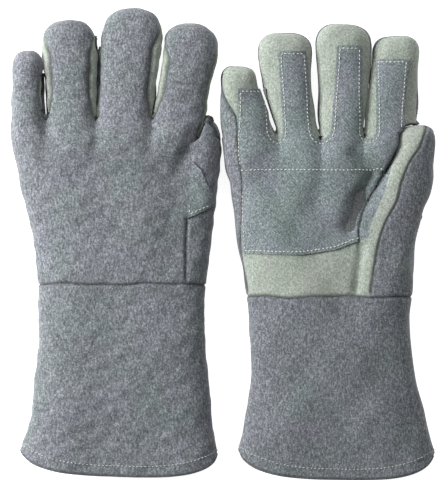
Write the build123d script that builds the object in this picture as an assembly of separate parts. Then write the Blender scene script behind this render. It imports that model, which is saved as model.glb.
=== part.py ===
"""A pair of heat-resistant welding gloves with long flared cuffs, lying side by side.

The left-hand glove lies palm down and the right-hand glove lies palm up, both with the thumb
towards +X and the fingertips towards +Y. The origin is at the middle of the pair's footprint on
the surface that they lie on, and +Z is up. All lengths are in millimetres.

Each glove is a cuff, a hand, four fingers and a thumb. Every one of them is a felt shell sewn from
a back half and a palm half, with a thin lining inside and a reinforcement on the palm side.
"""

from build123d import *
import os
from math import tan, radians

# Layers of cloth
FELT = 3.5  # outer felt
LINING = 1.5  # inner cloth
LINING_PLAY = 0.2  # between felt and lining
PATCH = 1.2  # reinforcement, let into the palm side
THREAD_WIDE = 1.2
THREAD_DEEP = 0.6
BINDING = 3.0  # width of the bound edge of the cuff
HEM_LINE = 6.0  # from the cuff's edge to its row of stitches
PATCH_LINE = 4.0  # from the patch's edge to its row of stitches

# Thickness of each stuffed shape as it lies, and the roundness of its long edges
CUFF_THICK, CUFF_EDGE = 34.0, 13.0
HAND_THICK, HAND_EDGE = 34.0, 13.0
FINGER_THICK, FINGER_EDGE = 28.0, 8.0
THUMB_THICK, THUMB_EDGE = 28.0, 8.0

TIP_ROUND = 0.44  # a fingertip's corner radius, as a share of its width

# Bends: how far each joint turns, and the play between the bodies that meet there
FINGER_BEND = 60.0
THUMB_BEND = 45.0
WRIST_BEND = 45.0  # towards the palm
WRIST_BACK = 20.0  # towards the back of the hand
PLAY = 0.25  # from a bend line to the cloth on either side
TIP_ROOM = 5.0  # from the thumb's tip to the cloth beyond it
RUN_ON = 25.0  # how far an outline runs past a bend line before it is cut there
WIDE = 400.0  # wider than anything here

# One glove is a table of places: (left x, right x) across it at a named y
LEFT = {
    "name": "left",
    "palm_up": False,
    "wrist_y": -30.0,
    "wrist": (-136.0, -14.5),
    "cuff_waist_y": -62.0,
    "cuff_waist": (-134.7, -15.3),
    "cuff_flare_y": -175.0,
    "cuff_flare": (-148.0, -5.0),
    "hem": ((-160.0, -145.0), (-70.0, -171.0), (5.0, -149.0)),
    "mid_y": 28.0,
    "mid": (-145.0, -8.0),
    "knuckle_y": 100.0,
    "knuckle": (-154.3, -9.0),
    "web_y": 58.0,
    "web_x": (-30.0, -24.0),
    "thumb_y": 5.0,
    "thumb_bend_y": 68.0,
    "thumb": ((-41.0, -9.5), (-31.0, -3.0), 92.0),
    "patch": ((-127.0, 3.0), (-48.0, 3.0), (-40.0, 60.0), (-36.0, 84.0), (-136.0, 84.0), (-136.0, 60.0)),
    "fingers": {
        "little": ((-154.3, -131.5), (-153.0, -133.0), 139.0),
        "ring": ((-129.5, -93.5), (-131.0, -95.0), 164.0),
        "middle": ((-91.5, -54.0), (-90.0, -46.0), 171.0),
        "index": ((-52.0, -9.0), (-43.5, -5.5), 160.0),
    },
}
RIGHT = {
    "name": "right",
    "palm_up": True,
    "wrist_y": -39.0,
    "wrist": (16.0, 136.0),
    "cuff_waist_y": -65.0,
    "cuff_waist": (16.0, 136.0),
    "cuff_flare_y": -177.0,
    "cuff_flare": (10.5, 152.0),
    "hem": ((0.0, -145.0), (84.0, -171.0), (165.0, -146.0)),
    "mid_y": 28.0,
    "mid": (5.5, 141.0),
    "knuckle_y": 88.0,
    "knuckle": (-0.5, 138.0),
    "web_y": 45.0,
    "web_x": (116.0, 122.0),
    "thumb_y": -4.0,
    "thumb_bend_y": 60.0,
    "thumb": ((103.0, 137.5), (128.0, 157.7), 80.0),
    "patch": ((21.0, -9.0), (62.0, -10.0), (99.0, -3.0), (113.0, 50.0), (116.0, 71.0), (16.0, 71.0)),
    "fingers": {
        "little": ((-0.5, 31.0), (-2.0, 26.0), 129.0),
        "ring": ((33.0, 65.5), (25.0, 63.5), 154.0),
        "middle": ((67.5, 101.0), (67.0, 104.5), 159.0),
        "index": ((103.5, 138.0), (107.0, 143.0), 150.0),
    },
}


def prism(face, low, high):
    """The straight solid over a flat outline, from one height to another."""
    return extrude(Pos(0, 0, low) * face, amount=high - low)


def pillow(outline, thick, edge, inset=0.0):
    """A stuffed shape over an outline: flat above and below, round along its edges."""
    face = offset(outline, amount=-inset, kind=Kind.ARC) if inset else outline
    solid = prism(face, inset, thick - inset)
    rims = solid.faces().filter_by(Axis.Z).edges()
    return fillet(rims, edge - inset)


def shell(outline, thick, edge, outer, inner):
    """The layer of a stuffed shape between two depths under its surface."""
    return pillow(outline, thick, edge, outer) - pillow(outline, thick, edge, inner)


def felt(outline, thick, edge):
    return shell(outline, thick, edge, 0.0, FELT)


def lining(outline, thick, edge):
    start = FELT + LINING_PLAY
    return shell(outline, thick, edge, start, start + LINING)


def rounded(points, radius):
    """A closed outline through points, with its corners rounded."""
    face = make_face(Polyline(*points, close=True))
    return fillet(face.vertices(), radius)


def tube_outline(root, tip, root_y, tip_y):
    """The plan of a finger or thumb: straight sides and a round end."""
    start_y = root_y - RUN_ON
    body = make_face(
        Polyline((root[0], start_y), (root[0], root_y), (tip[0], tip_y),
                 (tip[1], tip_y), (root[1], root_y), (root[1], start_y), close=True)
    )
    ends = body.vertices().sort_by(Axis.Y)[-2:]
    return fillet(ends, TIP_ROUND * (tip[1] - tip[0]))


def side_of_bend(y, axis_z, below, above, beyond):
    """Everything on one side of a bend line along X. The two angles open the cut below and above
    the line, so that the bodies close on each other only at the end of their travel."""
    way = 1 if beyond else -1
    drop_below = PLAY + WIDE * tan(radians(below / 2))
    drop_above = PLAY + WIDE * tan(radians(above / 2))
    points = [
        (y + way * WIDE * 2, axis_z - WIDE),
        (y + way * drop_below, axis_z - WIDE),
        (y + way * PLAY, axis_z),
        (y + way * drop_above, axis_z + WIDE),
        (y + way * WIDE * 2, axis_z + WIDE),
    ]
    face = Plane.YZ * make_face(Polyline(*points, close=True))
    return extrude(face, amount=WIDE, both=True)


def bend_side(glove, y, axis_z, to_palm, to_back, beyond):
    """side_of_bend with its angles put on the palm side and the back side of a glove."""
    below, above = (to_back, to_palm) if glove["palm_up"] else (to_palm, to_back)
    return side_of_bend(y, axis_z, below, above, beyond)


def halves(glove, solid, thick):
    """The back half and the palm half of a shell."""
    low = solid & prism(Rectangle(2 * WIDE, 2 * WIDE), -1, thick / 2)
    high = solid & prism(Rectangle(2 * WIDE, 2 * WIDE), thick / 2, thick + 1)
    return (low, high) if glove["palm_up"] else (high, low)


def palm_layer(glove, face, thick, start, deep):
    """A flat layer under the palm side, over an outline, from one depth for another."""
    if glove["palm_up"]:
        return prism(face, thick - start - deep, thick - start)
    return prism(face, start, start + deep)


def hem_region(glove, up):
    """All that lies above the cuff's curved edge, moved up the cuff by some distance."""
    (x0, y0), middle, (x1, y1) = glove["hem"]
    edge = ThreePointArc((x0, y0), middle, (x1, y1))
    frame = Polyline((x1, y1), (x1, WIDE), (x0, WIDE), (x0, y0))
    return Pos(0, up, 0) * make_face([edge, *frame.edges()])


def band(glove, low, high):
    """The strip of the cuff between two distances from its edge."""
    return prism(hem_region(glove, low) - hem_region(glove, high), -1, CUFF_THICK + 1)


def cuff_parts(glove):
    flare, flare_y = glove["cuff_flare"], glove["cuff_flare_y"]
    left, right = zip(glove["wrist"], glove["cuff_waist"], flare, flare)
    ys = (glove["wrist_y"] + RUN_ON, glove["cuff_waist_y"], flare_y, flare_y - RUN_ON)
    points = [*zip(left, ys), *reversed([*zip(right, ys)])]
    outline = rounded(points, 16)
    before = bend_side(glove, glove["wrist_y"], CUFF_THICK / 2, WRIST_BEND, WRIST_BACK, False)
    wall = felt(outline, CUFF_THICK, CUFF_EDGE) & before
    thread = band(glove, HEM_LINE, HEM_LINE + THREAD_WIDE)
    thread &= shell(outline, CUFF_THICK, CUFF_EDGE, 0.0, THREAD_DEEP)
    body = (wall & band(glove, BINDING, WIDE)) - thread
    back, palm = halves(glove, body, CUFF_THICK)
    inside = lining(outline, CUFF_THICK, CUFF_EDGE) & before
    return {
        "cuff_back": back,
        "cuff_palm": palm,
        "cuff_lining": inside & band(glove, BINDING, WIDE),
        "hem_binding": wall & band(glove, 0, BINDING),
        "hem_stitching": thread,
    }


def hand_outline(glove):
    knuckle_y = glove["knuckle_y"]
    ys = (glove["wrist_y"] - RUN_ON, glove["mid_y"], knuckle_y, knuckle_y + RUN_ON)
    left, right = zip(glove["wrist"], glove["mid"], glove["knuckle"], glove["knuckle"])
    return rounded([*zip(left, ys), *reversed([*zip(right, ys)])], 16)


def thumb_outline(glove):
    root, tip, tip_y = glove["thumb"]
    return tube_outline(root, tip, glove["thumb_y"], tip_y)


def thumb_lift(glove):
    """The height of the thumb's underside: the thumb lies level with the palm's face."""
    return HAND_THICK - THUMB_THICK if glove["palm_up"] else 0.0


def thumb_room(glove):
    """The space in the hand that the thumb takes: beside the back panel and under the palm."""
    root, tip, tip_y = glove["thumb"]
    root_y, web_y, beside_y = glove["thumb_y"], glove["web_y"], tip_y + TIP_ROOM
    under_y = glove["knuckle_y"] + 1
    low_x, web_x = glove["web_x"]
    far_x = tip[1] + 10
    beside = make_face(
        Polyline((low_x, root_y), (web_x, web_y), (glove["knuckle"][1] - 3, beside_y),
                 (far_x, beside_y), (far_x, root_y), close=True)
    )
    along = make_face(
        Polyline((root[0] - 1, root_y), (tip[0] - 1, tip_y), (tip[0] - 1, under_y),
                 (far_x, under_y), (far_x, root_y), close=True)
    )
    lift = thumb_lift(glove)
    under = prism(along, lift - 1.5, lift + THUMB_THICK + 1.5)
    return prism(beside, -1, HAND_THICK + 1) + under


def hand_parts(glove):
    outline = hand_outline(glove)
    after = bend_side(glove, glove["wrist_y"], CUFF_THICK / 2, WRIST_BEND, WRIST_BACK, True)
    before = bend_side(glove, glove["knuckle_y"], FINGER_THICK / 2, FINGER_BEND, 0, False)
    room = thumb_room(glove)
    wall = (felt(outline, HAND_THICK, HAND_EDGE) & after & before) - room
    inside = (lining(outline, HAND_THICK, HAND_EDGE) & after & before) - room
    plan = make_face(Polyline(*glove["patch"], close=True))
    ring = offset(plan, amount=-PATCH_LINE) - offset(plan, amount=-PATCH_LINE - THREAD_WIDE)
    thread = palm_layer(glove, ring, HAND_THICK, 0.0, THREAD_DEEP)
    patch = palm_layer(glove, plan, HAND_THICK, 0.0, PATCH)
    back, palm = halves(glove, wall, HAND_THICK)
    return {
        "back_panel": back,
        "palm_panel": palm - patch,
        "palm_patch": patch - thread,
        "palm_stitching": thread,
        "hand_lining": inside,
    }


def thumb_base(glove):
    """The thumb's tube below its bend, which stays with the hand."""
    root_y = glove["thumb_y"] + PLAY
    wall = felt(thumb_outline(glove), THUMB_THICK, THUMB_EDGE)
    far = Pos(0, root_y + WIDE, 0) * Box(2 * WIDE, 2 * WIDE, 2 * WIDE)
    before = bend_side(glove, glove["thumb_bend_y"], THUMB_THICK / 2, THUMB_BEND, 0, False)
    return Pos(0, 0, thumb_lift(glove)) * (wall & far & before)


def finger_parts(glove, name):
    root, tip, tip_y = glove["fingers"][name]
    outline = tube_outline(root, tip, glove["knuckle_y"], tip_y)
    beyond = bend_side(glove, glove["knuckle_y"], FINGER_THICK / 2, FINGER_BEND, 0, True)
    wall = felt(outline, FINGER_THICK, FINGER_EDGE) & beyond
    inside = lining(outline, FINGER_THICK, FINGER_EDGE) & beyond
    clear = FINGER_EDGE + 0.3
    start_y = glove["knuckle_y"] + 10
    end_y = tip_y - 12
    strip = make_face(
        Polyline((root[0] + clear, start_y), (max(root[0], tip[0]) + clear, end_y),
                 (min(root[1], tip[1]) - clear, end_y), (root[1] - clear, start_y), close=True)
    )
    patch = palm_layer(glove, strip, FINGER_THICK, 0.0, PATCH)
    back, front = halves(glove, wall, FINGER_THICK)
    return {
        f"{name}_back": back,
        f"{name}_front": front - patch,
        f"{name}_patch": patch,
        f"{name}_lining": inside,
    }


def thumb_parts(glove):
    outline = thumb_outline(glove)
    beyond = bend_side(glove, glove["thumb_bend_y"], THUMB_THICK / 2, THUMB_BEND, 0, True)
    wall = felt(outline, THUMB_THICK, THUMB_EDGE) & beyond
    inside = lining(outline, THUMB_THICK, THUMB_EDGE) & beyond
    back, front = halves(glove, wall, THUMB_THICK)
    raise_it = Pos(0, 0, thumb_lift(glove))
    return {
        "thumb_base": thumb_base(glove),
        "thumb_back": raise_it * back,
        "thumb_front": raise_it * front,
        "thumb_lining": raise_it * inside,
    }


def glove_parts(glove):
    parts = {**cuff_parts(glove), **hand_parts(glove), **thumb_parts(glove)}
    for name in glove["fingers"]:
        parts.update(finger_parts(glove, name))
    return {f"{glove['name']}_{name}": part for name, part in parts.items()}


os.makedirs("parts", exist_ok=True)
for glove in (LEFT, RIGHT):
    for name, part in glove_parts(glove).items():
        part.label = name
        export_step(part, f"parts/{name}.step")
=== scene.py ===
"""A pair of felt welding gloves, one palm down and one palm up, around their CAD frame.

Each glove starts as one smooth surface: rounded pads for the cuff and hand, and a rounded tube for
each finger and the thumb, melted together. That surface is cut along its seams into panels of felt,
each panel gets its thickness, and the reinforcement, stitches, lining and hem are laid on it.
All lengths are in metres.
"""

import math
import bpy
import numpy as np
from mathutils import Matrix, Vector


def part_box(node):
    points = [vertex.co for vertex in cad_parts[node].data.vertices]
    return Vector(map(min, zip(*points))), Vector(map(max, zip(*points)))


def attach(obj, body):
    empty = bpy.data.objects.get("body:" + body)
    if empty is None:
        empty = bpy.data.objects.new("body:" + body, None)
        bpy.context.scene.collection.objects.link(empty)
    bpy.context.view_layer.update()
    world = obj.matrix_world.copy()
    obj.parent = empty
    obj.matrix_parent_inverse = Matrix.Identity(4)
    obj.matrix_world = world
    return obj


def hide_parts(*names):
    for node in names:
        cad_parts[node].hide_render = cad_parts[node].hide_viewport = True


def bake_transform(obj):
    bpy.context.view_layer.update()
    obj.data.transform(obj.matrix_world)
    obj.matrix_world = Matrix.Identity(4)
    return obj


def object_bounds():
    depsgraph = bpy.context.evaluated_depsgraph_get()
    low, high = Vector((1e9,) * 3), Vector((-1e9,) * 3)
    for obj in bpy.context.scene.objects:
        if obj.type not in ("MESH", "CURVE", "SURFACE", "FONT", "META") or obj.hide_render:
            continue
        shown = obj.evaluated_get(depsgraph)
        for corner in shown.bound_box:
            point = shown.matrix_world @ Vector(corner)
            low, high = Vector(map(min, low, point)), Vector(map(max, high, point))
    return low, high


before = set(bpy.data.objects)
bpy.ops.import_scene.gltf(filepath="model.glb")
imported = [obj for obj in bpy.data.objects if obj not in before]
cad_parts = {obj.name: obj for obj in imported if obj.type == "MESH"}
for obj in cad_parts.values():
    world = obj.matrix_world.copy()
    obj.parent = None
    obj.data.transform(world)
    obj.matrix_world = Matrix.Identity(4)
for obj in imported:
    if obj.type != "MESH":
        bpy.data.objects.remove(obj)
cad_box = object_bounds()

# Cloth
FELT = 0.0032  # thickness of the felt panels
PATCH = 0.0013  # thickness of the reinforcement
LINING = 0.0012
LINING_DEPTH = 0.0040  # from the outer surface to the lining
STEP = 0.00110  # size of the surface's cells
LINING_STEP = 0.003

# Shape of a glove that lies flat
HAND_MIDDLE, HAND_HALF = 0.0168, 0.0158
FINGER_MIDDLE, FINGER_HALF = 0.0150, 0.0135
HAND_ROUND, CUFF_ROUND = 0.0420, 0.0400  # how far the rounding reaches in from the edge
TOP_POWER, UNDER_POWER = 2.3, 4.0  # the underside is flatter than the top
FINGER_GAP, THUMB_GAP = 0.0024, 0.0014
THUMB_HALF = 0.0138
SEAM_DEEP = 0.0011
CROTCH_SEAM = 0.45  # how far up the side the seam runs between two fingers

# Bends, as the distance along the glove over which cloth turns
FINGER_BACK, FINGER_ON = 0.012, 0.016
THUMB_BACK, THUMB_ON = 0.010, 0.012

# Rows are (y, left x, right x). A finger's rows end where its round tip starts.
LEFT = {
    "name": "left",
    "palm": -1,
    "crotch": 0.0900,
    "body": [
        (-0.195, -0.1530, 0.0000), (-0.149, -0.1478, -0.0051), (-0.117, -0.1398, -0.0102),
        (-0.082, -0.1361, -0.0131), (-0.050, -0.1347, -0.0156), (-0.030, -0.1357, -0.0164),
        (-0.010, -0.1376, -0.0205), (0.017, -0.1425, -0.0235), (0.040, -0.1475, -0.0240),
        (0.058, -0.1515, -0.0222), (0.068, -0.1530, -0.0210), (0.079, -0.1540, -0.0178),
        (0.092, -0.1543, -0.0132),
    ],
    "hem": ((-0.1486, -0.1475), (-0.0044, -0.1520), 0.0175),
    "fingers": {
        "little": ([(0.050, -0.1560, -0.1250), (0.086, -0.1548, -0.1290), (0.104, -0.1545, -0.1305),
                    (0.125, -0.1543, -0.1315)], 0.0140),
        "ring": ([(0.050, -0.1320, -0.0930), (0.086, -0.1298, -0.0934), (0.111, -0.1310, -0.0925),
                  (0.136, -0.1314, -0.0925), (0.147, -0.1311, -0.0938)], 0.0168),
        "middle": ([(0.050, -0.0940, -0.0520), (0.090, -0.0925, -0.0524), (0.116, -0.0910, -0.0488),
                    (0.140, -0.0903, -0.0455), (0.151, -0.0895, -0.0453)], 0.0204),
        "index": ([(0.050, -0.0530, -0.0270), (0.066, -0.0526, -0.0212), (0.080, -0.0523, -0.0172),
                   (0.091, -0.0520, -0.0130), (0.102, -0.0502, -0.0108), (0.118, -0.0478, -0.0080),
                   (0.134, -0.0450, -0.0054), (0.143, -0.0436, -0.0054)], 0.0172),
    },
    "thumb": ([(-0.046, -0.0500, -0.0185), (-0.030, -0.0490, -0.0150), (-0.0065, -0.0460, -0.0116),
               (0.0167, -0.0420, -0.0073), (0.040, -0.0380, -0.0051), (0.063, -0.0340, -0.0029),
               (0.0755, -0.0322, -0.0030)], 0.0170),
    "thumb_root": 0.0000,
    "thumb_middle": 0.0145,
    "thumb_on_top": False,
    "tip_power": 2.3,
    "web": 0.0740,
    "panel_edge": [(-0.060, -0.0275), (0.017, -0.0265), (0.040, -0.0245), (0.060, -0.0225),
                   (0.076, -0.0200)],
    # How far up each finger's sides its seam runs, -1 below and 1 above: left, right
    "seams": {"little": (-0.45, 0.72), "ring": (0.74, 0.74), "middle": (0.30, 0.76),
              "index": (0.74, 0.45)},
    "hand_seams": (-0.60, 0.50),
    "tip_seam": -0.05,
    "wrap": None,
    "patch_shift": (-0.1500, 0.0120),
}
RIGHT = {
    "name": "right",
    "palm": 1,
    "crotch": 0.0785,
    "body": [
        (-0.195, 0.0050, 0.1590), (-0.150, 0.0109, 0.1522), (-0.129, 0.0153, 0.1470),
        (-0.105, 0.0182, 0.1420), (-0.082, 0.0197, 0.1376), (-0.059, 0.0182, 0.1360),
        (-0.039, 0.0160, 0.1355), (-0.018, 0.0143, 0.1320), (0.005, 0.0087, 0.1240),
        (0.028, 0.0058, 0.1200), (0.052, 0.0029, 0.1240), (0.063, 0.0007, 0.1300),
        (0.080, -0.0010, 0.1370),
    ],
    "hem": ((0.0109, -0.1489), (0.1528, -0.1517), 0.0192),
    "fingers": {
        "little": ([(0.045, -0.0010, 0.0400), (0.076, -0.0005, 0.0385), (0.090, -0.0018, 0.0350),
                    (0.104, -0.0022, 0.0300), (0.1145, -0.0020, 0.0257)], 0.0146),
        "ring": ([(0.045, 0.0400, 0.0710), (0.076, 0.0390, 0.0700), (0.090, 0.0342, 0.0673),
                  (0.104, 0.0299, 0.0662), (0.119, 0.0262, 0.0648), (0.136, 0.0240, 0.0640)],
                 0.0183),
        "middle": ([(0.045, 0.0700, 0.1015), (0.076, 0.0695, 0.1012), (0.090, 0.0684, 0.1022),
                    (0.104, 0.0677, 0.1048), (0.122, 0.0670, 0.1066), (0.1425, 0.0670, 0.1070)],
                   0.0169),
        "index": ([(0.045, 0.1010, 0.1370), (0.076, 0.1010, 0.1390), (0.090, 0.1019, 0.1405),
                   (0.104, 0.1034, 0.1427), (0.118, 0.1052, 0.1434), (0.134, 0.1088, 0.1431)],
                  0.0174),
    },
    "thumb": ([(-0.055, 0.0960, 0.1370), (-0.0357, 0.0965, 0.1361), (-0.018, 0.0970, 0.1361),
               (0.0022, 0.0972, 0.1388), (0.0131, 0.0980, 0.1412), (0.0240, 0.1012, 0.1437),
               (0.0349, 0.1068, 0.1482), (0.0459, 0.1140, 0.1517), (0.0568, 0.1196, 0.1531),
               (0.0715, 0.1268, 0.1541)], 0.0138),
    "thumb_root": 0.0000,
    "thumb_middle": 0.0212,
    "thumb_on_top": True,
    "tip_power": 2.9,
    "web": 0.0500,
    "panel_edge": [(-0.060, 0.1200), (0.010, 0.1190), (0.035, 0.1200), (0.052, 0.1230)],
    "seams": {"little": (0.60, 0.15), "ring": (0.15, 0.15), "middle": (0.10, 0.15),
              "index": (0.10, 0.25)},
    "hand_seams": (0.86, -0.2),
    "tip_seam": 0.16,
    # The back cloth turns over the left edge on to the palm side by this much
    "wrap": [(-0.040, 0.0006), (0.002, 0.0012), (0.012, 0.0045), (0.030, 0.0078),
             (0.075, 0.0112), (0.092, 0.0105), (0.100, 0.0060), (0.107, 0.0020), (0.131, 0.0010)],
    "patch_shift": (0.0, 0.0),
}

# The reinforcement's outline on the right-hand glove: the palm and a strip up each finger
PALM_PATCH = [(0.0098, 0.0735), (0.1310, 0.0735), (0.1260, 0.0660), (0.1215, 0.0540),
              (0.1150, 0.0380), (0.1060, 0.0180), (0.1030, 0.0035), (0.0800, -0.0050),
              (0.0553, -0.0087), (0.0135, -0.0073)]
STRIPS = {
    "little": [(0.0098, 0.1120), (0.0305, 0.1120), (0.0335, 0.0690), (0.0100, 0.0690)],
    "ring": [(0.0392, 0.1390), (0.0594, 0.1390), (0.0640, 0.0690), (0.0440, 0.0690)],
    "middle": [(0.0823, 0.1430), (0.0997, 0.1430), (0.0985, 0.0690), (0.0775, 0.0690)],
    "index": [(0.1107, 0.1332), (0.1340, 0.1332), (0.1290, 0.0690), (0.1110, 0.0690)],
}
WEB_PATCH = [(0.1274, 0.0470), (0.1333, 0.0411), (0.1369, 0.0317), (0.1405, 0.0251),
             (0.1427, 0.0193), (0.1398, 0.0140), (0.1325, 0.0100), (0.1230, 0.0058),
             (0.1225, 0.0193), (0.1238, 0.0339)]
CROSS_STITCH_Y = 0.0530

# The pale strip up the thumb, as its left and right edges. Left of it the reinforcement shows.
STRIP_LEFT = [(-0.060, 0.1010), (0.0000, 0.1044), (0.0131, 0.1058), (0.0240, 0.1106),
              (0.0349, 0.1155), (0.0459, 0.1188), (0.0568, 0.1220), (0.0677, 0.1275),
              (0.100, 0.1390)]
BAND_START, BAND_END = 0.0036, 0.0700
STRIP_RIGHT = [(-0.060, 0.1040), (-0.0342, 0.1060), (-0.0160, 0.1088), (0.0022, 0.1122),
               (0.0150, 0.1168), (0.0313, 0.1252), (0.0459, 0.1289), (0.0604, 0.1354),
               (0.0677, 0.1405), (0.0837, 0.1463)]

# Soft valleys, as (from, to, half width, depth), on the palm side and on the back
PALM_FOLDS = [
    ((0.0915, 0.0120), (0.0985, 0.0310), 0.0070, 0.0070),
    ((0.0985, 0.0310), (0.1070, 0.0470), 0.0055, 0.0060),
    ((0.1000, -0.0020), (0.0955, -0.0340), 0.0035, 0.0026),
    ((0.0950, 0.0650), (0.1150, 0.0540), 0.0050, 0.0030),
    ((0.0700, 0.0690), (0.0690, 0.0300), 0.0080, 0.0014),
    ((0.0300, 0.0600), (0.0400, 0.0250), 0.0090, 0.0008),
]
BACK_FOLDS = [
    ((0.0195, 0.0760), (0.0260, 0.0610), 0.0045, 0.0012),
    ((0.0570, 0.0790), (0.0590, 0.0600), 0.0050, 0.0014),
    ((0.0985, 0.0790), (0.0960, 0.0620), 0.0050, 0.0014),
    ((0.0450, 0.0350), (0.0750, 0.0050), 0.0120, 0.0007),
    ((0.0950, 0.0300), (0.1150, 0.0500), 0.0100, 0.0008),
]
STITCH_INSET = 0.0021
WEB_STITCHES_BELOW = 0.0160
STITCH_PITCH, STITCH_LONG, STITCH_THICK = 0.0028, 0.0021, 0.00036
HEM_STITCH = 0.0060


# ---- Small maths

def curve(pairs):
    """A smooth function through (place, value) pairs, as two dense arrays for np.interp."""
    at, value = np.array(pairs, float).T
    slope = np.gradient(value, at)
    dense = np.linspace(at[0], at[-1], 400)
    k = np.clip(np.searchsorted(at, dense, side="right") - 1, 0, len(at) - 2)
    width = at[k + 1] - at[k]
    t = (dense - at[k]) / width
    rise = value[k] * (1 + 2 * t) * (1 - t) ** 2 + value[k + 1] * t * t * (3 - 2 * t)
    lean = width * (slope[k] * t * (1 - t) ** 2 - slope[k + 1] * t * t * (1 - t))
    return dense, rise + lean


def fade(x, start, end):
    """0 before start, 1 after end, and smooth between them."""
    t = np.clip((x - start) / (end - start), 0, 1)
    return t * t * (3 - 2 * t)


def melt(a, b, reach):
    """The union of two solids, rounded over where they meet."""
    h = np.clip(0.5 + 0.5 * (b - a) / reach, 0, 1)
    return b * (1 - h) + a * h - reach * h * (1 - h)


def inside_polygon(x, y, corners):
    """How far each point lies inside a polygon. Outside is negative."""
    best = np.full(np.shape(x), np.inf)
    inside = np.zeros(np.shape(x), bool)
    for (ax, ay), (bx, by) in zip(corners, corners[1:] + corners[:1]):
        ex, ey = bx - ax, by - ay
        t = np.clip(((x - ax) * ex + (y - ay) * ey) / (ex * ex + ey * ey), 0, 1)
        best = np.minimum(best, np.hypot(x - ax - t * ex, y - ay - t * ey))
        if by != ay:
            crosses = (ay > y) != (by > y)
            inside ^= crosses & (x < ex * (y - ay) / (by - ay) + ax)
    return np.where(inside, best, -best)


# ---- The glove as a solid: a negative value is inside

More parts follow.
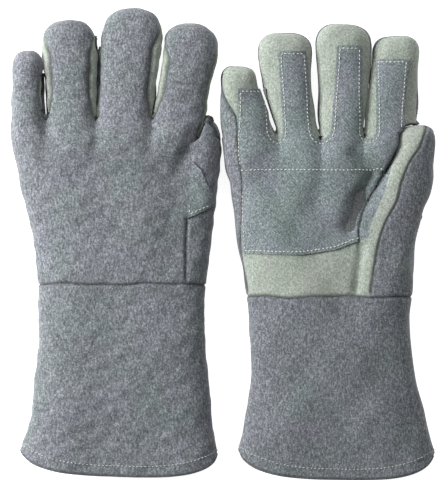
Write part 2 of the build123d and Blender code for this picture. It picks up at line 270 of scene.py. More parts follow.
class Glove:
    """The smooth solid of one glove, and the fields that its seams follow."""

    def __init__(self, table):
        self.name, self.palm = table["name"], table["palm"]
        self.crotch, self.web = table["crotch"], table["web"]
        self.table = table
        low = [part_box(f"{self.name}_{part}")[0] for part in ("back_panel", "thumb_back")]
        self.wrist = low[0][1]
        self.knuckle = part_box(f"{self.name}_ring_back")[0][1]
        self.thumb_knuckle = low[1][1]
        self.left = curve([(y, a) for y, a, _ in table["body"]])
        self.right = curve([(y, b) for y, _, b in table["body"]])
        self.tubes = {
            n: self.tube_shape(*rows, self.crotch - 0.006, 0.030)
            for n, rows in table["fingers"].items()
        }
        self.thumb = self.tube_shape(*table["thumb"], table["thumb_root"], 0.048)
        self.panel_edge = curve(table["panel_edge"])
        self.strip_left, self.strip_right = curve(STRIP_LEFT), curve(STRIP_RIGHT)
        if table["wrap"]:
            self.wrap = curve(table["wrap"])

    @staticmethod
    def tube_shape(rows, cap, root, root_cap):
        return {
            "left": curve([(y, a) for y, a, _ in rows]),
            "right": curve([(y, b) for y, _, b in rows]),
            "end": rows[-1][0],
            "cap": cap,
            "root": root,
            "root_cap": root_cap,
        }

    def across(self, x, y, tube):
        """Where a point is across a tube, -1 to 1, its radius share, and how far inside it is."""
        left, right = np.interp(y, *tube["left"]), np.interp(y, *tube["right"])
        side = (2 * x - left - right) / (right - left)
        beyond = np.clip((y - tube["end"]) / tube["cap"], 0, None)
        before = np.clip((tube["root"] - y) / tube["root_cap"], 0, None)
        power = self.table["tip_power"]
        share = (np.abs(side) ** power + np.maximum(beyond, before) ** power) ** (1 / power)
        return side, share, (1 - share) * (right - left) / 2

    def body_depth(self, x, y):
        """How far inside the plan of the cuff and hand a point is."""
        left, right = np.interp(y, *self.left), np.interp(y, *self.right)
        return np.minimum(np.minimum(x - left, right - x), 2.2 * (self.crotch - 0.003 - y))

    def middle_height(self, y):
        rise = fade(y, self.crotch + 0.025, self.crotch - 0.030)
        return FINGER_MIDDLE + (HAND_MIDDLE - FINGER_MIDDLE) * rise

    def half_height(self, y):
        rise = fade(y, self.crotch + 0.025, self.crotch - 0.030)
        return FINGER_HALF + (HAND_HALF - FINGER_HALF) * rise

    @staticmethod
    def stuffed(share, height, half):
        """The solid with this radius share in plan and this share of its half height."""
        high = (np.abs(share) ** TOP_POWER + np.abs(height) ** TOP_POWER) ** (1 / TOP_POWER)
        low = (np.abs(share) ** UNDER_POWER + np.abs(height) ** UNDER_POWER) ** (1 / UNDER_POWER)
        return (np.where(height > 0, high, low) - 1) * half

    def hand_solid(self, p):
        """The cuff, hand and fingers, and how far inside their plan each point is."""
        x, y, z = p.T
        middle, half = self.middle_height(y), self.half_height(y)
        height = (z - middle) / half
        tubes = [self.across(x, y, tube)[1:] for tube in self.tubes.values()]
        depths = np.array([depth for _, depth in tubes])
        open_gap = FINGER_GAP / 2 - 1.3 * np.clip(self.crotch + 0.002 - y, 0, None)
        fingers = np.full(len(p), np.inf)
        for k, (share, depth) in enumerate(tubes):
            beside = np.max(np.delete(depths, k, axis=0), axis=0)
            apart = (beside - depth) / 2 + open_gap
            fingers = np.minimum(fingers, np.maximum(self.stuffed(share, height, half), apart))
        depth = self.body_depth(x, y)
        reach = CUFF_ROUND + (HAND_ROUND - CUFF_ROUND) * fade(y, self.wrist, self.wrist + 0.04)
        body = self.stuffed(np.clip(1 - depth / reach, 0, None), height, half)
        edge = np.minimum(x - np.interp(y, *self.left), np.interp(y, *self.right) - x)
        blend = 0.002 + 0.007 * fade(edge, 0.004, 0.016) * fade(z, 0.006, 0.018)
        return melt(body, fingers, blend), np.maximum(depth, depths.max(axis=0))

    def solid(self, p):
        x, y, z = p.T
        hand, hand_depth = self.hand_solid(p)
        _, share, thumb_depth = self.across(x, y, self.thumb)
        thumb = self.stuffed(share, (z - self.table["thumb_middle"]) / THUMB_HALF, THUMB_HALF)
        open_gap = THUMB_GAP - 1.0 * np.clip(self.web + 0.002 - y, 0, None)
        if self.table["thumb_on_top"]:
            hand = np.maximum(hand, thumb_depth + open_gap)
        else:
            thumb = np.maximum(thumb, hand_depth + open_gap)
        reach = 0.0004 + 0.007 * fade(y, self.web, self.web - 0.03)
        return melt(hand, thumb, reach)

    # Fields that are zero along a seam

    def hem_field(self, p):
        """How far up the cuff a point lies from its curved edge."""
        (ax, ay), (bx, by), drop = self.table["hem"]
        t = np.clip((p[:, 0] - ax) / (bx - ax), 0, 1)
        return p[:, 1] - (ay + (by - ay) * t - drop * np.sqrt(1 - np.abs(2 * t - 1) ** 3))

    def hem_stitch_field(self, p):
        """Zero along the stitches above the cuff's edge. They curve less than it does."""
        (ax, ay), (bx, by), drop = self.table["hem"]
        t = np.clip((p[:, 0] - ax) / (bx - ax), 0, 1)
        chord = ay + (by - ay) * t + 0.0015
        return p[:, 1] - (chord - (drop + 0.0015 - HEM_STITCH) * (1 - np.abs(2 * t - 1) ** 3))

    def wrist_field(self, p):
        wave = 0.0006 * np.sin(p[:, 0] * 95) + 0.0004 * np.sin(p[:, 0] * 210 + 1)
        return p[:, 1] - self.wrist - wave

    def nearest_finger(self, p):
        x, y, _ = p.T
        depths = [self.across(x, y, tube)[2] for tube in self.tubes.values()]
        return np.argmax(depths, axis=0)

    def side_field(self, p):
        """Positive above the seam between the upper and the lower cloth."""
        x, y, z = p.T
        left, right = np.interp(y, *self.left), np.interp(y, *self.right)
        seam_left, seam_right = self.table["hand_seams"]
        share = CROTCH_SEAM + (seam_left - CROTCH_SEAM) * fade(x, left + 0.022, left + 0.010)
        seam_right = -0.3 + (seam_right + 0.3) * fade(y, self.web - 0.003, self.web + 0.004)
        share += (seam_right - CROTCH_SEAM) * fade(x, right - 0.022, right - 0.010)
        near = self.nearest_finger(p)
        names = list(self.tubes)
        for k, (name, tube) in enumerate(self.tubes.items()):
            side, _, _ = self.across(x, y, tube)
            low, high = self.table["seams"][name]
            start_low = self.table["hand_seams"][0] if k == 0 else CROTCH_SEAM
            start_high = self.table["hand_seams"][1] if k == len(names) - 1 else CROTCH_SEAM
            up = fade(y, self.crotch - 0.004, self.crotch + 0.022)
            low = start_low + (low - start_low) * up
            high = start_high + (high - start_high) * up
            own = low + (high - low) * fade(side, -0.5, 0.5)
            tip = tube["end"] + tube["cap"]
            own = own + (self.table["tip_seam"] - own) * fade(y, tube["end"] - 0.012, tip - 0.003)
            on_finger = fade(y, self.crotch - 0.012, self.crotch - 0.002) * (near == k)
            share = share + (own - share) * on_finger
        cuff = fade(y, self.wrist + 0.012, self.wrist - 0.004)
        share = share * (1 - cuff)
        field = z - self.middle_height(y) - share * self.half_height(y)
        if not self.table["wrap"]:
            return field
        little = self.tubes["little"]
        edge = np.minimum(left, np.interp(y, *little["left"]) + 0.02 * (y < self.crotch - 0.01))
        edge = np.where(y > self.crotch, np.interp(y, *little["left"]), edge)
        turned = np.minimum(z - self.middle_height(y), x - edge - np.interp(y, *self.wrap))
        return np.where((x < edge + 0.017) & (y > self.wrist), turned, field)

    def thumb_field(self, p):
        """Positive on the thumb: past the back panel's edge, and past the crease in the palm."""
        x, y, z = p.T
        _, hand_depth = self.hand_solid(p)
        _, _, depth = self.across(x, y, self.thumb)
        outline = x - np.interp(y, *self.thumb["left"])
        beyond = fade(y, self.web - 0.004, self.web)
        if self.table["thumb_on_top"]:
            apart = depth + THUMB_GAP / 2
            crease = outline + (apart - outline) * beyond
        else:
            apart = -hand_depth - THUMB_GAP / 2
            crease = outline + (apart - outline) * beyond
        edge = x - np.interp(y, *self.panel_edge)
        edge = edge + (apart - edge) * beyond
        return np.where((z - HAND_MIDDLE) * self.palm < 0, edge, crease)

    def strip_field(self, p):
        """Positive on the inner side of the thumb, where it isn't felt."""
        x, y, z = p.T
        shift_x, shift_y = self.table["patch_shift"]
        up = (z - self.table["thumb_middle"]) / THUMB_HALF * self.palm
        inner = np.interp(y - shift_y, *self.strip_right) + shift_x - x
        middle = (np.interp(y, *self.thumb["left"]) + np.interp(y, *self.thumb["right"])) / 2
        under = np.minimum(middle - x, (up + 0.55) * THUMB_HALF)
        under = np.minimum(under, p[:, 1] - self.web + 0.002)
        return np.where(up > 0, inner, under)

    def band_field(self, p):
        """Positive on the reinforcement that turns up the thumb beside the pale strip."""
        shift_x, shift_y = self.table["patch_shift"]
        x, y = p[:, 0] - shift_x, p[:, 1] - shift_y
        along = np.minimum(y - BAND_START - 0.5 * (x - 0.1030), BAND_END - y)
        return np.minimum(np.interp(y, *self.strip_left) - x, along)

    def web_patch_field(self, p):
        """Positive inside the patch that covers the root of the thumb on the back."""
        shift_x, shift_y = self.table["patch_shift"]
        return inside_polygon(p[:, 0] - shift_x, p[:, 1] - shift_y, WEB_PATCH)

    def patch_field(self, p):
        """Positive inside the outline of the reinforcement."""
        shift_x, shift_y = self.table["patch_shift"]
        x, y = p[:, 0] - shift_x, p[:, 1] - shift_y
        strips = [inside_polygon(x, y, corners) for corners in STRIPS.values()]
        palm = inside_polygon(x, y, PALM_PATCH)
        rounded = -melt(-palm, -np.max(strips, axis=0), 0.011)
        return np.minimum(rounded, x - PALM_PATCH[0][0])


# ---- Surfaces

def net(solid, low, high, step):
    """The surface where a solid's value is zero, as points and triangles."""
    size = np.ceil((np.array(high) - low) / step).astype(int) + 1
    axes = [low[k] + step * np.arange(size[k]) for k in range(3)]
    grid = np.stack(np.meshgrid(*axes, indexing="ij"), axis=-1).reshape(-1, 3)
    values = np.concatenate([solid(part) for part in np.array_split(grid, 8)]).reshape(size)
    cells = size - 1
    total, count = np.zeros((*cells, 3)), np.zeros(cells)
    corner = {
        c: values[tuple(slice(o, o + n) for o, n in zip(c, cells))]
        for c in np.ndindex(2, 2, 2)
    }
    for a, first in corner.items():
        for axis in range(3):
            if a[axis]:
                continue
            b = tuple(v + (k == axis) for k, v in enumerate(a))
            second = corner[b]
            crosses = (first < 0) != (second < 0)
            t = np.where(crosses, first / np.where(crosses, first - second, 1), 0)
            for k in range(3):
                total[..., k] += crosses * (a[k] + (t if k == axis else 0))
            count += crosses
    active = count > 0
    index = np.full(cells, -1)
    index[active] = np.arange(active.sum())
    where = np.argwhere(active)
    points = low + step * (where + total[active] / count[active][:, None])
    quads = []
    for axis in range(3):
        u, v = (axis + 1) % 3, (axis + 2) % 3
        cut = [slice(1, -1)] * 3
        cut[axis] = slice(0, cells[axis])
        first = values[tuple(cut)]
        cut[axis] = slice(1, cells[axis] + 1)
        second = values[tuple(cut)]
        at = np.argwhere((first < 0) != (second < 0))
        flip = first[tuple(at.T)] >= 0
        at[:, u] += 1
        at[:, v] += 1
        around = []
        for du, dv in ((0, 0), (1, 0), (1, 1), (0, 1)):
            cell = at.copy()
            cell[:, u] -= du
            cell[:, v] -= dv
            around.append(index[tuple(cell.T)])
        quad = np.stack(around, axis=1)
        quad[flip] = quad[flip][:, ::-1]
        quads.append(quad)
    quads = np.concatenate(quads)
    one = np.linalg.norm(points[quads[:, 0]] - points[quads[:, 2]], axis=1)
    two = np.linalg.norm(points[quads[:, 1]] - points[quads[:, 3]], axis=1)
    short = (one <= two)[:, None]
    first = np.where(short, quads[:, [0, 1, 2]], quads[:, [0, 1, 3]])
    second = np.where(short, quads[:, [0, 2, 3]], quads[:, [1, 2, 3]])
    return points, np.concatenate([first, second])


def settle(solid, points, step, turns=4):
    """Moves points onto the surface where a solid's value is zero."""
    reach = step * 0.2
    for _ in range(turns):
        value = solid(points)
        slope = np.stack(
            [(solid(points + d) - solid(points - d)) / (2 * reach) for d in np.eye(3) * reach], axis=1
        )
        size = np.sum(slope ** 2, axis=1) + 1e-9
        move = -(value / size)[:, None] * slope
        length = np.linalg.norm(move, axis=1)[:, None]
        points = points + move * np.minimum(1, 0.6 * step / np.maximum(length, 1e-12))
    return points


def cut_along(points, triangles, field):
    """Splits triangles where a field is zero, so that no triangle has both signs."""
    value = field(points)
    value[np.abs(value) < 2e-5] = 0
    signs = np.sign(value)[triangles]
    mixed = (signs.min(axis=1) < 0) & (signs.max(axis=1) > 0)
    made, new_points, result = {}, [], []
    count = len(points)

    def between(a, b):
        key = (a, b) if a < b else (b, a)
        if key not in made:
            t = value[key[0]] / (value[key[0]] - value[key[1]])
            made[key] = count + len(new_points)
            new_points.append(points[key[0]] * (1 - t) + points[key[1]] * t)
        return made[key]

    for triangle, sign in zip(triangles[mixed].tolist(), signs[mixed].tolist()):
        if 0 in sign:
            k = sign.index(0)
            a, b, c = triangle[k], triangle[k - 2], triangle[k - 1]
            m = between(b, c)
            result += [(a, b, m), (a, m, c)]
        else:
            alone = 1 if sign.count(1) == 1 else -1
            k = sign.index(alone)
            a, b, c = triangle[k], triangle[k - 2], triangle[k - 1]
            m, n = between(a, b), between(c, a)
            result += [(a, m, n), (m, b, c), (m, c, n)]
    if not result:
        return points, triangles
    return (
        np.concatenate([points, np.array(new_points).reshape(-1, 3)]),
        np.concatenate([triangles[~mixed], np.array(result)]),
    )


def point_normals(points, triangles):
    a, b, c = (points[triangles[:, k]] for k in range(3))
    face = np.cross(b - a, c - a)
    normals = np.zeros_like(points)
    for k in range(3):
        np.add.at(normals, triangles[:, k], face)
    return normals / np.maximum(np.linalg.norm(normals, axis=1), 1e-15)[:, None]


def border(triangles):
    """The directed edges that only one triangle uses."""
    edges = np.concatenate([triangles[:, [0, 1]], triangles[:, [1, 2]], triangles[:, [2, 0]]])
    keys = np.sort(edges, axis=1)
    _, first, uses = np.unique(keys, axis=0, return_index=True, return_counts=True)
    return edges[first[uses == 1]]


def chains(edges):
    """Joins edges, as pairs of points, into lines. A closed line ends where it starts."""
    beside = {}
    for a, b in edges:
        beside.setdefault(a, []).append(b)
        beside.setdefault(b, []).append(a)
    used, lines = set(), []
    starts = [a for a, b in beside.items() if len(b) == 1] + list(beside)
    for start in starts:
        for onward in beside[start]:
            if (start, onward) in used:
                continue
            line = [start]
            here, after = start, onward
            while True:
                used.update([(here, after), (after, here)])
                line.append(after)
                left = [n for n in beside[after] if (after, n) not in used]
                if not left:
                    break
                here, after = after, left[0]
            lines.append(line)
    return lines


# ---- Objects

def make_object(name, points, faces, normals=None, shade=None):
    """A mesh object. normals are one for each corner of each face."""
    mesh = bpy.data.meshes.new(name)
    mesh.from_pydata(points.tolist(), [], faces)
    mesh.shade_smooth()
    if normals is not None:
        mesh.normals_split_custom_set(normals.tolist())
    # shade is painted shade, kept as the 'seam' attribute that darkens the cloth's colour
    if shade is not None:
        attribute = mesh.attributes.new("seam", "FLOAT", "POINT")
        attribute.data.foreach_set("value", shade.astype(np.float32))
    obj = bpy.data.objects.new(name, mesh)
    bpy.context.scene.collection.objects.link(obj)
    return obj


def panel(name, points, triangles, normals, thick, lift=0.0, shade=None):
    """A closed piece of cloth: a surface, its copy under it, and the edge between them."""
    used, local = np.unique(triangles, return_inverse=True)
    local = local.reshape(-1, 3)
    base, facing = points[used], normals[used]
    outer, inner = base + facing * lift, base + facing * (lift - thick)
    n = len(used)
    rim = border(local)
    sides = np.stack([rim[:, 1], rim[:, 0], rim[:, 0] + n, rim[:, 1] + n], axis=1)
    every = np.concatenate([outer, inner])
    faces = local.tolist() + (local[:, ::-1] + n).tolist() + sides.tolist()
    across = np.cross(every[sides[:, 1]] - every[sides[:, 0]], every[sides[:, 3]] - every[sides[:, 0]])
    across /= np.maximum(np.linalg.norm(across, axis=1), 1e-15)[:, None]
    corner_normals = np.concatenate(
        [facing[local.ravel()], -facing[local[:, ::-1].ravel()], np.repeat(across, 4, axis=0)]
    )
    # Painted shade: the outer face is darkened along its seams, the inner face all over
    dark = None if shade is None else np.concatenate([shade[used], np.ones(n)])
    return make_object(name, every, faces, corner_normals, dark)


def along_line(line, pitch):
    """Places spaced evenly on a line of points, with the direction of the line there."""
    steps = np.linalg.norm(np.diff(line, axis=0), axis=1)
    at = np.concatenate([[0], np.cumsum(steps)])
    count = int(at[-1] / pitch)
    places = (np.arange(count) + 0.5) * at[-1] / max(count, 1)

    def read(distance):
        return np.stack([np.interp(distance, at, line[:, k]) for k in range(3)], axis=1)

    ahead = read(places + pitch * 0.3) - read(places - pitch * 0.3)
    return read(places), ahead / np.maximum(np.linalg.norm(ahead, axis=1), 1e-12)[:, None], places


def stitch_mesh(name, lines, points, normals, lift, seed):
    """A row of running stitches along each line of point numbers. Each stitch is a short bead of
    thread whose ends dip into the cloth."""
    rng = np.random.default_rng(seed)
    sides, rings = 6, np.array([-1, -0.8, -0.35, 0.35, 0.8, 1.0])
    around = np.linspace(0, 2 * math.pi, sides, endpoint=False)
    verts, faces = [], []
    for line in lines:
        spots, ways, _ = along_line(points[line], STITCH_PITCH)
        if len(spots) == 0:
            continue
        facings, _, _ = along_line(points[line] + normals[line], STITCH_PITCH)
        tree = normals[line]
        nearest = [int(np.argmin(np.sum((points[line] - s) ** 2, axis=1))) for s in spots]
        for spot, way, k in zip(spots, ways, nearest):
            up = tree[k] / max(np.linalg.norm(tree[k]), 1e-9)
            across = np.cross(way, up)
            way = way + across * rng.normal(0, 0.06)
            long = STITCH_LONG * (0.5 + rng.normal(0, 0.03))
            base = len(verts)
            for r in rings:
                wide = STITCH_THICK * math.sqrt(max(1.02 - abs(r) ** 3, 0.02))
                rise = lift + STITCH_THICK * (0.75 - 1.4 * abs(r) ** 3)
                centre = spot + way * (r * long) + up * rise
                for angle in around:
                    verts.append(
                        centre + across * (math.cos(angle) * wide) + up * (math.sin(angle) * wide * 0.8)
                    )
            for i in range(len(rings) - 1):
                for j in range(sides):
                    a, b = base + i * sides + j, base + i * sides + (j + 1) % sides
                    faces.append((a, b, b + sides, a + sides))
            faces.append(tuple(base + j for j in reversed(range(sides))))
            faces.append(tuple(base + (len(rings) - 1) * sides + j for j in range(sides)))
    if not verts:
        return None
    return make_object(name, np.array(verts), faces)


def declare_cloth(obj, points, triangles):
    """Works out what size a piece of cloth was cut to: its length along the glove, its width as the
    widest band of it measured round the glove, and its area. It keeps none of them."""
    a, b, c = (points[triangles[:, k]] for k in range(3))
    areas = np.linalg.norm(np.cross(b - a, c - a), axis=1) / 2
    at = (a + b + c)[:, 1] / 3
    used = points[np.unique(triangles), 1]
    length = float(np.ptp(used))
    bands = max(int(length / 0.008), 1)
    in_band, _ = np.histogram(at, bins=bands, range=(used.min(), used.max()), weights=areas)
    area = sum(face.area for face in obj.data.polygons) / 2
    widest = float(in_band.max() * bands / length)
    width = max(float(np.clip(widest, area / length, area / (0.32 * length))), 0.0101)
    length = max(min(length, area / (0.32 * width)), 0.0101)


# ---- Materials

def node_material(name):
    material = bpy.data.materials.new(name)
    material.use_nodes = True
    tree = material.node_tree
    return material, tree, tree.nodes["Principled BSDF"]


def noise(tree, vector, scale, detail=3.0, rough=0.6):
    node = tree.nodes.new("ShaderNodeTexNoise")
    node.inputs["Scale"].default_value = scale
    node.inputs["Detail"].default_value = detail
    node.inputs["Roughness"].default_value = rough
    tree.links.new(vector, node.inputs["Vector"])
    return node.outputs["Fac"]


def stretched(tree, vector, scale):
    node = tree.nodes.new("ShaderNodeMapping")
    node.inputs["Scale"].default_value = scale
    tree.links.new(vector, node.inputs["Vector"])
    return node.outputs["Vector"]


def ramp(tree, value, stops):
    node = tree.nodes.new("ShaderNodeValToRGB")
    tree.links.new(value, node.inputs["Fac"])
    for _ in range(len(stops) - 2):
        node.color_ramp.elements.new(0.5)
    for element, (place, colour) in zip(node.color_ramp.elements, stops):
        element.position = place
        element.color = (*colour, 1)
    return node.outputs["Color"]


def mix(tree, kind, factor, a, b):
    node = tree.nodes.new("ShaderNodeMix")
    node.data_type, node.blend_type = "RGBA", kind
    if isinstance(factor, float):
        node.inputs["Factor"].default_value = factor
    else:
        tree.links.new(factor, node.inputs["Factor"])
    tree.links.new(a, node.inputs["A"])
    if isinstance(b, tuple):
        node.inputs["B"].default_value = (*b, 1)
    else:
        tree.links.new(b, node.inputs["B"])
    return node.outputs["Result"]


def maths(tree, kind, a, b):
    node = tree.nodes.new("ShaderNodeMath")
    node.operation = kind
    for socket, value in zip(node.inputs, (a, b)):
        if isinstance(value, (int, float)):
            socket.default_value = value
        else:
            tree.links.new(value, socket)
    return node.outputs[0]


def cloth(name, dark, mid, light, tint_a, tint_b, grain, streak, weave=0.0, bump=0.35, sheen=0.25):
    """Heathered cloth: fibres of three tones, streaks along it, and slow changes of tint."""
    material, tree, shader = node_material(name)
    coords = tree.nodes.new("ShaderNodeTexCoord").outputs["Object"]
    fine = noise(tree, coords, grain, 2.0, 0.7)
    fibre = noise(tree, stretched(tree, coords, (1.0, streak, 1.0)), grain * 0.9, 2.0, 0.75)
    both = maths(tree, "MULTIPLY", maths(tree, "ADD", fine, fibre), 0.5)
    colour = ramp(tree, both, [(0.37, dark), (0.5, mid), (0.63, light)])
    slow = noise(tree, coords, 28.0, 4.0, 0.6)
    colour = mix(tree, "MULTIPLY", 1.0, colour, ramp(tree, slow, [(0.34, tint_a), (0.66, tint_b)]))
    height = both
    if weave:
        wave = tree.nodes.new("ShaderNodeTexWave")
        wave.wave_type, wave.bands_direction = "BANDS", "DIAGONAL"
        wave.inputs["Scale"].default_value = weave
        wave.inputs["Distortion"].default_value = 1.2
        wave.inputs["Detail"].default_value = 2.0
        tree.links.new(coords, wave.inputs["Vector"])
        thread = wave.outputs["Fac"]
        colour = mix(tree, "MULTIPLY", 0.35, colour,
                     ramp(tree, thread, [(0.0, (0.72, 0.72, 0.72)), (1.0, (1.18, 1.18, 1.18))]))
        height = maths(tree, "ADD", both, maths(tree, "MULTIPLY", thread, 0.5))
    # Painted shade: the 'seam' attribute darkens the colour to about a third along the seam grooves and
    # over the whole inner face of each felt panel
    seam = tree.nodes.new("ShaderNodeAttribute")
    seam.attribute_name = "seam"
    colour = mix(tree, "MULTIPLY", seam.outputs["Fac"], colour, (0.34, 0.35, 0.35))
    tree.links.new(colour, shader.inputs["Base Color"])
    rough = maths(tree, "ADD", maths(tree, "MULTIPLY", fine, 0.18), 0.80)
    tree.links.new(rough, shader.inputs["Roughness"])
    shader.inputs["Sheen Weight"].default_value = sheen
    shader.inputs["Sheen Roughness"].default_value = 0.6
    shader.inputs["Specular IOR Level"].default_value = 0.18
    node = tree.nodes.new("ShaderNodeBump")
    node.inputs["Strength"].default_value = bump
    node.inputs["Distance"].default_value = 0.0006
    tree.links.new(height, node.inputs["Height"])
    tree.links.new(node.outputs["Normal"], shader.inputs["Normal"])
    return material


def grey(value, warm=0.0, green=0.0):
    return (value * (1 + warm), value * (1 + green), value * (1 - warm))


MATERIALS = {
    "felt": cloth("felt", (0.047, 0.051, 0.054), (0.106, 0.113, 0.121), (0.235, 0.243, 0.258),
                  (0.89, 0.98, 0.94), (1.03, 1.01, 1.09), 880.0, 0.42, bump=0.45, sheen=0.16),
    "pale_felt": cloth("pale_felt", (0.135, 0.153, 0.132), (0.225, 0.250, 0.220),
                       (0.34, 0.37, 0.335), (0.92, 0.97, 0.92), (1.06, 1.04, 1.05), 950.0, 0.6,
                       bump=0.30, sheen=0.2),
    "patch": cloth("patch", (0.068, 0.081, 0.084), (0.138, 0.158, 0.161), (0.26, 0.287, 0.29),
                   (0.88, 0.98, 0.93), (1.04, 1.01, 1.11), 900.0, 0.7, weave=260.0, bump=0.32,
                   sheen=0.14),
    "lining": cloth("lining", (0.05, 0.053, 0.055), (0.09, 0.095, 0.098), (0.15, 0.16, 0.16),
                    (0.95, 0.97, 0.98), (1.05, 1.05, 1.04), 900.0, 0.5, weave=420.0, bump=0.2),
    "binding": cloth("binding", (0.030, 0.033, 0.036), (0.055, 0.06, 0.065), (0.11, 0.12, 0.13),
                     (0.92, 0.97, 0.98), (1.07, 1.05, 1.05), 800.0, 0.5, bump=0.3),
    "thread": cloth("thread", (0.30, 0.31, 0.27), (0.47, 0.48, 0.43), (0.68, 0.68, 0.64),
                    (0.94, 0.95, 0.94), (1.04, 1.04, 1.03), 1500.0, 0.4, bump=0.2, sheen=0.1),
    "hem_thread": cloth("hem_thread", (0.18, 0.19, 0.20), (0.30, 0.31, 0.32), (0.46, 0.47, 0.48),
                        (0.94, 0.95, 0.94), (1.04, 1.04, 1.03), 1500.0, 0.4, bump=0.2, sheen=0.1),
}


def dress(obj, slot, material=None):
    obj.data.materials.append(MATERIALS[material or slot])


# ---- Building one glove

def soft_waves(p, seed):
    """Low, wide unevenness of stuffed cloth, in metres."""
    rng = np.random.default_rng(seed)
    total = np.zeros(len(p))
    for size, count in ((0.00035, 7), (0.00011, 9)):
        for _ in range(count):
            way = rng.normal(size=3)
            way /= np.linalg.norm(way)
            length = rng.uniform(0.035, 0.075) if size > 0.0003 else rng.uniform(0.010, 0.022)
            total += size * np.sin(2 * math.pi * (p @ way) / length + rng.uniform(0, 6.28))
    return total


def groove(distance, wide):
    return np.exp(-(distance / wide) ** 2)


class Build:
    """One glove's cut surface, with the names of its regions."""

    def __init__(self, table):
        self.glove = glove = Glove(table)
        self.name = table["name"]
        box = np.array([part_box(n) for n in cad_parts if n.startswith(self.name)])
        low, high = box[:, 0].min(axis=0) - 0.006, box[:, 1].max(axis=0) + 0.006
        points, triangles = net(glove.solid, low, high, STEP)
        points = settle(glove.solid, points, STEP)
        self.finger_cut = glove.knuckle - FINGER_BACK
        self.thumb_cut = glove.thumb_knuckle - THUMB_BACK
        names = list(glove.tubes)

        fields = [
            glove.hem_field,
            glove.wrist_field,
            glove.side_field,
            glove.thumb_field,
            glove.strip_field,
            glove.band_field,
            glove.web_patch_field,
            lambda p: glove.web_patch_field(p) - STITCH_INSET,
            lambda p: p[:, 1] - self.finger_cut,
            lambda p: p[:, 1] - self.thumb_cut,
            *[lambda p, a=a, b=b: self.between(p, a, b) for a, b in zip(names, names[1:])],
            glove.patch_field,
            lambda p: glove.patch_field(p) - STITCH_INSET,
            lambda p: p[:, 1] - CROSS_STITCH_Y - table["patch_shift"][1],
            glove.hem_stitch_field,
        ]
        for field in fields:
            points, triangles = cut_along(points, triangles, field)
        keep = self.strongest(glove.hem_field, points, triangles) > 0
        triangles = triangles[keep]
        self.flat_points, self.triangles = points, triangles
        self.label()
        self.raise_surface()

    def between(self, p, one, two):
        x, y, _ = p.T
        tubes = self.glove.tubes
        depths = [self.glove.across(x, y, tubes[name])[2] for name in (one, two)]
        return depths[0] - depths[1]

    @staticmethod
    def strongest(field, points, triangles):
        """Each triangle's value of a field, at the corner where it is furthest from zero."""
        value = field(points)[triangles]
        pick = np.argmax(np.abs(value), axis=1)
        return value[np.arange(len(value)), pick]

    def label(self):
        """Gives each triangle its zone, and says which side of each seam it is on."""
        glove, p, t = self.glove, self.flat_points, self.triangles
        middle = p[t].mean(axis=1)
        upper = self.strongest(glove.side_field, p, t) > 0
        self.back = upper == (glove.palm < 0)
        self.cuff = self.strongest(glove.wrist_field, p, t) < 0
        self.thumb = (self.strongest(glove.thumb_field, p, t) > 0) & ~self.cuff
        self.strip = (self.strongest(glove.strip_field, p, t) > 0) & self.thumb
        self.thumb_tip = self.thumb & (middle[:, 1] > self.thumb_cut)
        self.finger = np.full(len(t), -1)
        on_finger = ~self.cuff & ~self.thumb & (middle[:, 1] > self.finger_cut)
        self.finger[on_finger] = glove.nearest_finger(middle)[on_finger]
        self.band = self.strip & (self.strongest(glove.band_field, p, t) > 0)
        palm_side = (middle[:, 2] - glove.middle_height(middle[:, 1])) * glove.palm > 0
        self.web_patch = self.thumb & ~palm_side & (
            self.strongest(glove.web_patch_field, p, t) > 0
        )
        self.patch = (
            (self.strongest(glove.patch_field, p, t) > 0)
            & palm_side & ~self.cuff & ~self.thumb & ~self.back
        )

    def raise_surface(self):
        """Sinks the seams, works out the painted shade along them, and adds the cloth's unevenness."""
        glove, p = self.glove, self.flat_points
        normals = point_normals(p, self.triangles)
        y = p[:, 1]
        side = glove.side_field(p)
        wrist = groove(glove.wrist_field(p), 0.0010)
        on_hand = fade(y, glove.wrist, glove.wrist + 0.004)
        fields = [groove(side, 0.0011) * on_hand, wrist]
        thumb = glove.thumb_field(p)
        facing = (p[:, 2] - HAND_MIDDLE) * glove.palm
        patch_low = min(row[1] for row in WEB_PATCH) + glove.table["patch_shift"][1]
        below_patch = on_hand * fade(y, patch_low + 0.004, patch_low - 0.002)
        starts = np.where(facing > 0, fade(y, -0.012, 0.008), below_patch)
        fields.append(groove(thumb, 0.0012) * starts * (y < glove.web + 0.03))
        near_thumb = thumb > 0.0005
        fields.append(groove(glove.strip_field(p), 0.0010) * near_thumb * on_hand)
        # self.seam is the depth of the seam grooves and also the painted shade in them
        self.seam = np.max(fields, axis=0)
        self.waves = soft_waves(p, 11 if self.name == "left" else 12)
        move = self.waves + self.folds(p, normals) - SEAM_DEEP * self.seam
        self.points = p + normals * move[:, None]
        self.normals = point_normals(self.points, self.triangles)

    def folds(self, p, normals):
        """The soft valleys on both sides, as a move along the normal."""
        shift_x, shift_y = self.glove.table["patch_shift"]
        x, y = p[:, 0] - shift_x, p[:, 1] - shift_y
        facing = normals[:, 2] * self.glove.palm
        total = np.zeros(len(p))
        off_thumb = np.maximum(self.glove.thumb_field(p) < 0, fade(y, 0.010, -0.006))
        for folds, side in ((PALM_FOLDS, facing), (BACK_FOLDS, -facing)):
            for (ax, ay), (bx, by), wide, deep in folds:
                ex, ey = bx - ax, by - ay
                t = np.clip(((x - ax) * ex + (y - ay) * ey) / (ex * ex + ey * ey), 0, 1)
                away = np.hypot(x - ax - t * ex, y - ay - t * ey)
                total -= deep * np.exp(-(away / wide) ** 2) * np.clip(side, 0, 1) * off_thumb
        return total

    def piece(self, name, pick, slot, replaces, thick=FELT, lift=0.0):
        # self.seam goes in as the panel's painted shade along its seams
        obj = panel(f"{self.name}_{name}", self.points, self.triangles[pick], self.normals, thick,
                    lift, self.seam)
        dress(obj, slot)
        declare_cloth(obj, self.points, self.triangles[pick])
        if replaces:
            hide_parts(*[f"{self.name}_{n}" for n in replaces])
        return obj

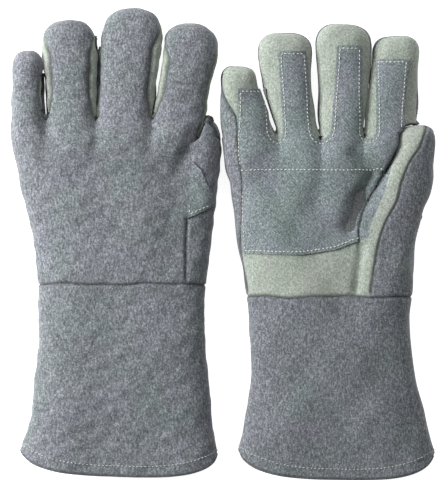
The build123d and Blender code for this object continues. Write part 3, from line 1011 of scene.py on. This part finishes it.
    def bend_wrist(self, obj):
        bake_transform(obj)

    def bend_finger(self, obj, finger):
        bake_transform(obj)

    def bend_thumb(self, obj):
        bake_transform(obj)

    def make_panels(self):
        hand = ~self.cuff & ~self.thumb & (self.finger < 0)
        low = self.thumb & ~self.thumb_tip
        for name, pick, slot, nodes in (
            ("cuff_back_cloth", self.cuff & self.back, "felt", ["cuff_back"]),
            ("cuff_palm_cloth", self.cuff & ~self.back, "felt", ["cuff_palm"]),
            ("back_cloth", hand & self.back, "felt", ["back_panel"]),
            ("palm_cloth", hand & ~self.back, "pale_felt", ["palm_panel"]),
            ("thumb_base_cloth", low & ~self.strip, "felt", ["thumb_base"]),
            ("thumb_base_strip", low & self.strip & ~self.band, "pale_felt", []),
            ("thumb_base_band", low & self.band, "patch", []),
        ):
            self.bend_wrist(self.piece(name, pick, slot, nodes))
        for name, pick, slot, nodes in (
            ("thumb_cloth", self.thumb_tip & ~self.strip, "felt", ["thumb_back"]),
            ("thumb_strip", self.thumb_tip & self.strip & ~self.band, "pale_felt", ["thumb_front"]),
            ("thumb_band", self.thumb_tip & self.band, "patch", []),
        ):
            self.bend_thumb(self.piece(name, pick, slot, nodes))
        for k, finger in enumerate(self.glove.tubes):
            own = self.finger == k
            for name, pick, slot, node in (
                ("cloth", own & self.back, "felt", "back"),
                ("gusset", own & ~self.back, "pale_felt", "front"),
                ("strip", own & self.patch, "patch", "patch"),
            ):
                lift = PATCH if name == "strip" else 0.0
                thick = PATCH - 0.00005 if name == "strip" else FELT
                obj = self.piece(f"{finger}_{name}", pick, slot, [f"{finger}_{node}"], thick, lift)
                self.bend_finger(obj, finger)
        for name, pick, nodes in (
            ("palm_patch_cloth", self.patch & (self.finger < 0), ["palm_patch"]),
            ("web_patch_cloth", self.web_patch, []),
        ):
            patch = self.piece(name, pick, "patch", nodes, PATCH - 0.00005, PATCH)
            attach(patch, f"{self.name}_hand")

    def line_edges(self, field, pick):
        """Edges of the picked triangles that lie where a field is zero."""
        inside = pick & (self.strongest(field, self.flat_points, self.triangles) > 0)
        edges = border(self.triangles[inside])
        on_line = np.abs(field(self.flat_points)) < 1e-4
        return edges[on_line[edges].all(axis=1)]

    def make_stitches(self):
        glove = self.glove
        outline = lambda p: glove.patch_field(p) - STITCH_INSET
        across = lambda p: p[:, 1] - CROSS_STITCH_Y - glove.table["patch_shift"][1]
        hand = self.patch & (self.finger < 0)
        edges = np.concatenate([self.line_edges(outline, hand), self.line_edges(across, hand)])
        obj = stitch_mesh(f"{self.name}_palm_thread", chains(edges), self.points, self.normals,
                          PATCH, 21)
        dress(obj, "thread")
        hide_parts(f"{self.name}_palm_stitching")
        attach(obj, f"{self.name}_hand")
        inset = lambda p: glove.web_patch_field(p) - STITCH_INSET
        edges = self.line_edges(inset, self.web_patch)
        middle = self.flat_points[edges].mean(axis=1)
        low_y = WEB_STITCHES_BELOW + glove.table["patch_shift"][1]
        obj = stitch_mesh(f"{self.name}_web_thread", chains(edges[middle[:, 1] < low_y]),
                          self.points, self.normals, PATCH, 29)
        dress(obj, "thread")
        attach(obj, f"{self.name}_hand")
        for k, finger in enumerate(glove.tubes):
            edges = self.line_edges(outline, self.patch & (self.finger == k))
            obj = stitch_mesh(f"{self.name}_{finger}_thread", chains(edges), self.points,
                              self.normals, PATCH, 22 + k)
            if obj:
                dress(obj, "thread")
                self.bend_finger(obj, finger)
        edges = self.line_edges(glove.hem_stitch_field, self.cuff)
        obj = stitch_mesh(f"{self.name}_hem_thread", chains(edges), self.points, self.normals,
                          0.0, 30)
        dress(obj, "thread", "hem_thread")
        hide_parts(f"{self.name}_hem_stitching")
        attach(obj, f"{self.name}_cuff")

    def make_hem(self):
        """The turned edge of the cuff: a flattened cord of cloth round its opening."""
        edges = self.line_edges(self.glove.hem_field, self.cuff)
        line = max(chains(edges), key=len)[:-1]
        ring, facing = self.points[line], self.normals[line]
        facing = facing * (1, 0, 1)
        facing /= np.linalg.norm(facing, axis=1)[:, None]
        centre = ring - facing * 0.0021 - np.array((0, 0.0004, 0))
        sides = 10
        verts, faces = [], []
        n = len(line)
        for k in range(sides):
            angle = 2 * math.pi * k / sides
            out, down = 0.0025 * math.cos(angle), 0.0017 * math.sin(angle)
            verts.append(centre + facing * out + np.array((0, 1, 0)) * down)
        for i in range(n):
            for k in range(sides):
                a, b = k * n + i, k * n + (i + 1) % n
                c, d = (k + 1) % sides * n + i, (k + 1) % sides * n + (i + 1) % n
                faces.append((a, b, d, c))
        obj = make_object(f"{self.name}_hem_edge", np.concatenate(verts), faces)
        dress(obj, "binding")
        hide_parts(f"{self.name}_hem_binding")
        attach(obj, f"{self.name}_cuff")

    def make_lining(self):
        """The inner cloth, a smaller surface inside the felt, split where the bodies meet."""
        glove = self.glove
        low, high = self.points.min(axis=0), self.points.max(axis=0)

        def inner(p):
            return glove.solid(p) + LINING_DEPTH

        points, triangles = net(inner, low, high, LINING_STEP)
        points = settle(inner, points, LINING_STEP, 3)
        for field in (
            lambda p: glove.hem_field(p) - 0.001,
            lambda p: p[:, 1] - self.finger_cut,
        ):
            points, triangles = cut_along(points, triangles, field)
        normals = point_normals(points, triangles)
        middle = points[triangles].mean(axis=1)
        keep = glove.hem_field(middle) > 0.001
        thumb = (glove.thumb_field(middle) > 0) & (middle[:, 1] > self.thumb_cut)
        finger = np.where((middle[:, 1] > self.finger_cut) & ~thumb, glove.nearest_finger(middle), -1)
        cuff = middle[:, 1] < glove.wrist
        zones = [("cuff_lining", cuff & keep), ("hand_lining", ~cuff & ~thumb & (finger < 0))]
        for name, pick in zones:
            self.bend_wrist(self.lining_piece(name, points, triangles[pick], normals))
        self.bend_thumb(self.lining_piece("thumb_lining", points, triangles[thumb & ~cuff], normals))
        for k, name in enumerate(glove.tubes):
            pick = (finger == k) & ~cuff
            self.bend_finger(
                self.lining_piece(f"{name}_lining", points, triangles[pick], normals), name
            )

    def lining_piece(self, name, points, triangles, normals):
        obj = panel(f"{self.name}_{name}_cloth", points, triangles, normals, LINING)
        dress(obj, "lining")
        declare_cloth(obj, points, triangles)
        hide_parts(f"{self.name}_{name}")
        return obj


# ---- Stage

def floor_and_light(box):
    low, high = box
    middle = [(a + b) / 2 for a, b in zip(low, high)]
    size = 3.0
    bpy.ops.mesh.primitive_plane_add(size=size, location=(middle[0], middle[1], low[2] - 0.0006))
    floor = bpy.context.object
    floor.name = "floor"
    material, tree, shader = node_material("floor")
    shader.inputs["Base Color"].default_value = (0.93, 0.93, 0.93, 1)
    shader.inputs["Roughness"].default_value = 0.9
    shader.inputs["Emission Color"].default_value = (1, 1, 1, 1)
    shader.inputs["Emission Strength"].default_value = 0.80
    floor.data.materials.append(material)
    for name, place, wide, power in (
        ("key", (-0.85, 0.22, 0.48), 0.5, 22.0),
        ("top", (0.2, 1.5, 1.1), 1.2, 16.0),
    ):
        lamp = bpy.data.lights.new(name, "AREA")
        lamp.energy, lamp.size = power, wide
        obj = bpy.data.objects.new(name, lamp)
        obj.location = Vector(middle) + Vector(place)
        obj.rotation_euler = (-Vector(place)).to_track_quat("-Z", "Y").to_euler()
        bpy.context.scene.collection.objects.link(obj)
    world = bpy.data.worlds.new("studio")
    bpy.context.scene.world = world
    world.use_nodes = True
    world.node_tree.nodes["Background"].inputs["Color"].default_value = (1, 1, 1, 1)
    world.node_tree.nodes["Background"].inputs["Strength"].default_value = 0.31
    bpy.context.scene.view_settings.view_transform = "Standard"


def camera_above():
    """Straight above the pair, with a long lens, so that it looks as flat as the real view."""
    high, tall = 2.2, 0.3494
    camera = bpy.data.cameras.new("camera")
    camera.sensor_width = 36.0
    camera.lens = 36.0 * (high - 0.017) / tall
    obj = bpy.data.objects.new("camera", camera)
    obj.location = (-0.0029, 0.0022, high)
    bpy.context.scene.collection.objects.link(obj)
    bpy.context.scene.camera = obj


for table in (LEFT, RIGHT):
    build = Build(table)
    build.make_panels()
    build.make_stitches()
    build.make_hem()
    build.make_lining()
floor_and_light(cad_box)
camera_above()
